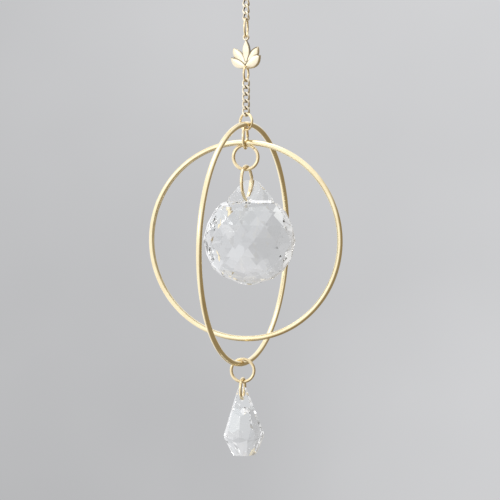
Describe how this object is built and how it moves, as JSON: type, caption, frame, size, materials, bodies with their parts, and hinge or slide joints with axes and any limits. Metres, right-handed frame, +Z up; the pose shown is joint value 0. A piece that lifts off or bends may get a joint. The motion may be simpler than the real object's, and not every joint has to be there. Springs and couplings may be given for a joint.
{
  "type": "crystal suncatcher",
  "caption": "Hanging suncatcher: a fine gold-coloured chain with a lotus charm, wire hoops one inside the other, a faceted clear crystal ball within them and a crystal drop below",
  "frame": {"origin": "the upper inside of the hanging ring, where a hook bears", "axes": "+Z up along the hanging line, +X to the viewer's right, +Y away from the viewer"},
  "size_m": [0.0636, 0.075, 0.1702],
  "materials": {
    "hoop_wire": "satin pale gold plating on brass wire",
    "ring_wire": "bright pale gold plating on brass wire",
    "chain_wire": "bright pale gold plating on fine brass chain",
    "cast_lotus": "polished pale gold plating on a casting",
    "clear_crystal": "clear, colourless, cut and polished"
  },
  "bodies": {
    "root": {"hanging_ring": "ring_wire", "upper_chain_link_1": "chain_wire", "upper_chain_link_2": "chain_wire", "upper_chain_link_3": "chain_wire", "upper_chain_link_4": "chain_wire", "upper_chain_link_5": "chain_wire", "upper_chain_link_6": "chain_wire", "upper_chain_link_7": "chain_wire", "upper_chain_link_8": "chain_wire", "lotus_upper_ring": "ring_wire", "lotus_charm": "cast_lotus", "lotus_lower_ring": "ring_wire", "lower_chain_link_1": "chain_wire", "lower_chain_link_2": "chain_wire", "lower_chain_link_3": "chain_wire", "lower_chain_link_4": "chain_wire", "lower_chain_link_5": "chain_wire", "chain_end_ring": "ring_wire", "hoop_ring": "ring_wire", "big_hoop": "hoop_wire", "small_hoop": "hoop_wire", "ball_upper_ring": "ring_wire", "ball_ring": "ring_wire", "crystal_ball": "clear_crystal", "drop_upper_ring": "ring_wire", "drop_ring": "ring_wire", "crystal_drop": "clear_crystal"}
  },
  "joints": []
}
